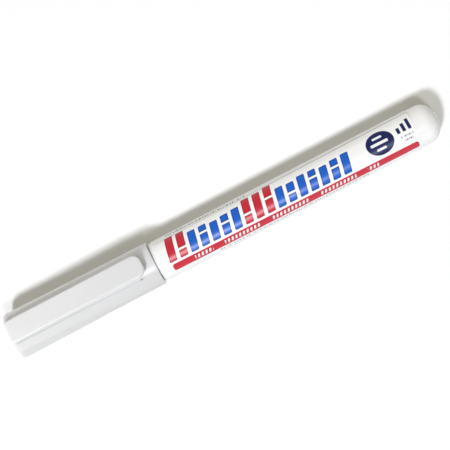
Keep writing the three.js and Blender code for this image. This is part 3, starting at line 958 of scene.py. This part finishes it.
mouthpieceSizes = {
    "bore": 1.12,  # a radius, as are tube, shoulder, neck, collar, flange and plug
    "tube": 1.6,
    "tubeLength": 4.6,
    "shoulder": 2.8,
    "neck": 3.45,
    "neckLength": 8,
    "collar": 5.0,
    "collarLength": 9.6,
    "beadRise": 0.25,  # the bead that the cap snaps over
    "beadSlope": 0.25,
    "beadFlat": 0.3,
    "beadGap": 0.35,
    "flange": 5.75,
    "flangeThickness": 0.5,
    "plug": 5.3,  # fits in the barrel
    "plugBeads": 2,
    "plugBeadPitch": 2.6,
    "plugBeadHalf": 0.4,
    "plugBeadRise": 0.04,
    "cageBore": 4.65,
    "cageDepth": 6.1,
    "seatBore": 4.15,
    "seatDepth": 1.25,
    "rodBore": 2.0,
    "rodGap": 1.4,  # between the rod's front end and the step in front of it
    "sides": 160,
}


def makeMouthpiece():
    s = mouthpieceSizes
    x0, x1 = span("mouthpiece")
    flangeX = barrelX0 - s["flangeThickness"]
    collarX = flangeX - s["collarLength"]
    neckX = collarX - s["neckLength"]
    tubeX = neckX - s["tubeLength"]
    beadX = capX1 - capSizes["snapFromMouth"] - capSizes["snapLength"] - s["beadGap"]
    bead, slope, flat = s["collar"] + s["beadRise"], s["beadSlope"], s["beadFlat"]
    outside = [
        (x0, s["bore"], 0), (x0, s["tube"], 0.12), (tubeX, s["tube"], 0.4), (neckX, s["shoulder"], 0.15),
        (neckX, s["neck"], 0.5), (collarX, s["neck"], 0.3), (collarX, s["collar"], 1.3),
        (beadX - 2 * slope - flat, s["collar"], 0.2), (beadX - slope - flat, bead, 0.15),
        (beadX - slope, bead, 0.15), (beadX, s["collar"], 0.2), (flangeX, s["collar"], 0.1),
        (flangeX, s["flange"], 0.12), (barrelX0, s["flange"], 0.05), (barrelX0, s["plug"], 0.05)]
    plug, half = s["plug"], s["plugBeadHalf"]
    for i in range(s["plugBeads"]):
        x = barrelX0 + s["plugBeadPitch"] * (i + 0.5)
        outside += [(x, plug, 0.1), (x + half, plug + s["plugBeadRise"], 0.2), (x + 2 * half, plug, 0.1)]
    cageX = x1 - s["cageDepth"]
    seatX = cageX - s["seatDepth"]
    rodX = span("valve_rod")[0] - s["rodGap"]
    outside += [
        (x1 - 0.6, plug, 0.2), (x1, plug - 0.2, 0.1), (x1, s["cageBore"], 0.05),
        (cageX, s["cageBore"], 0), (cageX, s["seatBore"], 0), (seatX, s["seatBore"], 0),
        (seatX, s["rodBore"], 0), (rodX, s["rodBore"], 0), (rodX, s["bore"], 0)]
    mesh = meshOf("mouthpieceBody", [turned(filleted(outside), s["sides"], closed=True)])
    material = mouldedPlastic("mouthpiecePlastic", (0.84, 0.84, 0.83), 0.38)
    pieceOf("mouthpieceBody", mesh, material, "barrel", "mouthpiece_plastic", "mouthpiece")


def nibFibre():
    # bonded fibres that run along the nib
    look = {"Base Color": (0.8, 0.79, 0.74, 1), "Roughness": 0.95, "Specular IOR Level": 0.2}
    material, desk, shader = newMaterial("nibFibre", look)
    place = objectPlace(desk)
    fibres = noise(desk, stretched(desk, place, (900, 9000, 9000)), 1, 4, 0.7)
    desk.feed(shader.inputs["Base Color"], desk.blend(fibres, (0.7, 0.69, 0.64), (0.86, 0.85, 0.81)))
    bumped(desk, shader, fibres, 0.00006)
    return material


nibSizes = {"radius": 1.0, "tipRadius": 0.6, "coneLength": 2.5, "spacing": 1.5, "sides": 96}


def makeNib():
    s = nibSizes
    x0, x1 = span("nib")
    r, tipR = s["radius"], s["tipRadius"]
    tip = [(x0 + tipR - tipR * math.cos(math.radians(a)), tipR * math.sin(math.radians(a)))
           for a in range(0, 76, 5)]
    rest = filleted([(*tip[-1], 0), (x0 + s["coneLength"], r, 0.8), (x1, r, 0.08), (x1, 0, 0)], 6)
    mesh = meshOf("nibRod", [turned(tip + divided(rest[1:], s["spacing"]), s["sides"])])
    pieceOf("nibRod", mesh, nibFibre(), "nib", "nib_fibre", "nib")


def brightSteel(name, roughness, streaks):
    look = {"Base Color": (0.68, 0.69, 0.7, 1), "Metallic": 1.0, "Roughness": roughness}
    material, desk, shader = newMaterial(name, look)
    place = objectPlace(desk)
    drawn = noise(desk, stretched(desk, place, streaks), 1, 4, 0.6)
    desk.feed(shader.inputs["Base Color"], desk.blend(drawn, (0.6, 0.61, 0.62), (0.74, 0.75, 0.76)))
    desk.feed(shader.inputs["Roughness"], drawn * 0.15 + roughness - 0.05)
    bumped(desk, shader, drawn, 0.000008)
    return material


springSizes = {
    "wire": 0.4,
    "coil": 4.2,  # across the middle of the wire
    "turns": 7,
    "endTurns": 0.9,  # turns that lie close together at each end
    "endPitch": 0.3,  # their pitch, as a share of the pitch in the middle
    "endBlend": 0.5,  # turns over which the pitch changes
    "travel": 1.5,  # how far the nib pushes the front end in
    "turnSteps": 40,
    "wireSides": 14,
}


def makeSpring():
    # a coil whose turns lie closer together at both ends
    s = springSizes
    x0, x1 = span("valve_spring")
    steps, sides = s["turnSteps"], s["wireSides"]
    count = steps * s["turns"]
    pace = []
    for i in range(count):
        fromEnd = min(i, count - 1 - i) / steps
        share = eased((fromEnd - s["endTurns"]) / s["endBlend"] + 0.5)
        pace.append(s["endPitch"] + (1 - s["endPitch"]) * share)
    stretch = (x1 - x0 - s["wire"]) / sum(pace)
    places = [x0 + s["wire"] / 2 + stretch * sum(pace[:i]) for i in range(count + 1)]
    coilR, wireR = s["coil"] / 2, s["wire"] / 2
    points = []
    for i, x in enumerate(places):
        turn = tau * i / steps
        outward = Vector((0, math.cos(turn), math.sin(turn)))
        rate = stretch * pace[min(i, count - 1)] * steps / tau
        ahead = Vector((rate, -coilR * math.sin(turn), coilR * math.cos(turn))).normalized()
        across = ahead.cross(outward)
        middle = Vector((x, 0, 0)) + outward * coilR
        points += [tuple(middle + (outward * math.cos(a) + across * math.sin(a)) * wireR)
                   for a in (tau * k / sides for k in range(sides))]
    faces = [(i * sides + k, i * sides + (k + 1) % sides, (i + 1) * sides + (k + 1) % sides,
              (i + 1) * sides + k) for i in range(count) for k in range(sides)]
    faces += [tuple(range(sides - 1, -1, -1)), tuple(count * sides + k for k in range(sides))]
    mesh = meshOf("springCoil", [(points, faces)])
    material = brightSteel("springSteel", 0.28, (300, 3000, 3000))
    coil = pieceOf("springCoil", mesh, material, "barrel", "spring_steel", "valve_spring")
    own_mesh(coil)


def seatRubber():
    look = {"Base Color": (0.3, 0.31, 0.32, 1), "Roughness": 0.8, "Specular IOR Level": 0.3}
    material, desk, shader = newMaterial("seatRubber", look)
    place = objectPlace(desk)
    grain = noise(desk, place, 1400, 4, 0.6)
    desk.feed(shader.inputs["Base Color"], desk.blend(grain, (0.26, 0.27, 0.28), (0.34, 0.35, 0.36)))
    bumped(desk, shader, grain, 0.00003)
    return material


def dressInnerParts():
    # parts that stay hidden in the barrel keep the shapes of the frame and get their own finishes
    finishes = {
        "valve_rod": mouldedPlastic("valvePlastic", (0.84, 0.85, 0.86), 0.4),
        "spring_cage": mouldedPlastic("cagePlastic", (0.8, 0.81, 0.82), 0.42, 420),
        "valve_seat": seatRubber(),
        "mixing_ball": brightSteel("ballSteel", 0.16, (700, 700, 700)),
    }
    for node, material in finishes.items():
        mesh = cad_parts[node].data
        mesh.materials.clear()
        mesh.materials.append(material)


makeCap()
makeInnerCap()
makeBarrel()
makeLabel()
makeMouthpiece()
makeNib()
makeSpring()
dressInnerParts()
print("marker made")


floorSizes = {
    "half": 1.5,
    "pale": (0.92, 0.92, 0.92),
    "palest": (0.93, 0.93, 0.93),
    "bounce": (0.62, 0.62, 0.62),  # what the floor gives back to the object
}

lightSizes = {
    "lampAt": (-0.8, -0.98, 1.65),  # in metres, from the floor under the marker's middle
    "lampSize": (0.3, 0.27),
    "lampPower": 33.2,
    "fillAt": (-0.045, -0.92, 1.6),  # a weaker lamp in front, for the paler shadow by the tail
    "fillSize": (0.2, 0.42),
    "fillPower": 9.9,
    "lampColour": (0.9, 0.93, 1.0),
    "skyColour": (1.0, 0.93, 0.7),
    "skyStrength": 0.31,
    "skyLean": (-0.35, 0.6),  # how much paler the sky is towards +X and towards +Y
    "windowColour": (0.86, 0.9, 1.0),  # low light from behind, which hardly reaches the floor
    "windowStrength": 2.2,
    "windowSide": 0.7,  # how far towards +Y a direction points where the window starts
    "windowSideFade": 0.2,
    "windowTop": 0.35,  # how far up a direction points where the window ends
    "windowTopFade": 0.1,
    "wallTop": 0.3,  # the same for the pale walls
    "wallFade": 0.06,
    "wallColour": (0.98, 0.98, 0.975),
}


def seenBy(desk):
    # 1 for rays that show the floor or the walls, to the eye or in a gloss, 0 for those that light things
    rays = desk.node("ShaderNodeLightPath")
    seen = desk.num(rays.outputs["Is Camera Ray"]).most(desk.num(rays.outputs["Is Glossy Ray"]))
    return seen.most(desk.num(rays.outputs["Is Transmission Ray"]))


def makeFloor():
    s = floorSizes
    half = s["half"]
    points = [(-half, -half, 0), (half, -half, 0), (half, half, 0), (-half, half, 0)]
    mesh = bpy.data.meshes.new("floorSheet")
    mesh.from_pydata(points, [], [(0, 1, 2, 3)])
    floor = bpy.data.objects.new("floorSheet", mesh)
    bpy.context.scene.collection.objects.link(floor)
    look = {"Base Color": (*s["pale"], 1), "Roughness": 0.9, "Specular IOR Level": 0.1}
    material, desk, shader = newMaterial("floorPaper", look)
    place = objectPlace(desk)
    paper = desk.blend(noise(desk, place, 240, 3), s["pale"], s["palest"])
    desk.feed(shader.inputs["Base Color"], desk.blend(seenBy(desk), s["bounce"], paper))
    mesh.materials.append(material)


def makeLamp(name, kind):
    # an elliptical lamp that looks at the marker
    s = lightSizes
    lamp = bpy.data.lights.new(name, "AREA")
    lamp.shape = "ELLIPSE"
    lamp.size, lamp.size_y = s[kind + "Size"]
    lamp.energy = s[kind + "Power"]
    lamp.color = s["lampColour"]
    made = bpy.data.objects.new(name, lamp)
    made.location = s[kind + "At"]
    made.rotation_mode = "QUATERNION"
    made.rotation_quaternion = Vector(s[kind + "At"]).to_track_quat("Z", "Y")
    bpy.context.scene.collection.objects.link(made)


def mixed(desk, share, low, high):
    made = desk.node("ShaderNodeMixShader")
    for socket, value in zip(made.inputs, (share, low.outputs[0], high.outputs[0])):
        desk.feed(socket, value)
    return made


def makeSky():
    # a warm sky with a low pale window behind, and pale walls that only the eye and a gloss see
    s = lightSizes
    world = bpy.data.worlds.new("paleRoom")
    world.use_nodes = True
    bpy.context.scene.world = world
    desk = Desk(world.node_tree)
    desk.tree.nodes.clear()
    wayX, wayY, wayZ = numbersOf(desk, desk.node("ShaderNodeTexCoord").outputs["Generated"])
    leanX, leanY = s["skyLean"]
    level = (wayX * leanX + wayY * leanY + 1) * s["skyStrength"]
    sky = desk.node("ShaderNodeBackground", inputs={"Color": (*s["skyColour"], 1), "Strength": level})
    window = desk.node("ShaderNodeBackground", inputs={
        "Color": (*s["windowColour"], 1), "Strength": s["windowStrength"]})
    walls = desk.node("ShaderNodeBackground", inputs={"Color": (*s["wallColour"], 1), "Strength": 1})
    behind = ((wayY - s["windowSide"]) / s["windowSideFade"]).clamped()
    inWindow = behind * ((s["windowTop"] - wayZ) / s["windowTopFade"]).clamped()
    onWall = ((s["wallTop"] + s["wallFade"] / 2 - wayZ) / s["wallFade"]).clamped()
    light = mixed(desk, inWindow, sky, window)
    out = desk.node("ShaderNodeOutputWorld")
    desk.feed(out.inputs["Surface"], mixed(desk, seenBy(desk) * onWall, light, walls).outputs[0])


cameraSizes = {"elevation": 78.3, "roll": 27.43, "distance": 0.47, "lens": 130.0, "lift": 0.0006}


def makeCamera():
    s = cameraSizes
    up = math.radians(s["elevation"])
    back = Vector((0, -math.cos(up), math.sin(up)))
    right = Vector((1, 0, 0))
    above = back.cross(right)
    roll = math.radians(s["roll"])
    newRight = right * math.cos(roll) - above * math.sin(roll)
    newAbove = right * math.sin(roll) + above * math.cos(roll)
    middle = Vector(((cadBox[0].x + cadBox[1].x) / 2, 0, axisZ))
    data = bpy.data.cameras.new("photoCamera")
    data.lens = s["lens"]
    data.sensor_width = 36
    data.clip_start = 0.01
    data.clip_end = 20
    camera = bpy.data.objects.new("photoCamera", data)
    camera.matrix_world = Matrix((
        (newRight.x, newAbove.x, back.x, 0), (newRight.y, newAbove.y, back.y, 0),
        (newRight.z, newAbove.z, back.z, 0), (0, 0, 0, 1)))
    camera.location = middle + back * s["distance"] + newAbove * s["lift"]
    bpy.context.scene.collection.objects.link(camera)
    bpy.context.scene.camera = camera


makeFloor()
makeLamp("keyLamp", "lamp")
makeLamp("fillLamp", "fill")
makeSky()
makeCamera()
bpy.context.scene.view_settings.view_transform = "Standard"
print("room made")
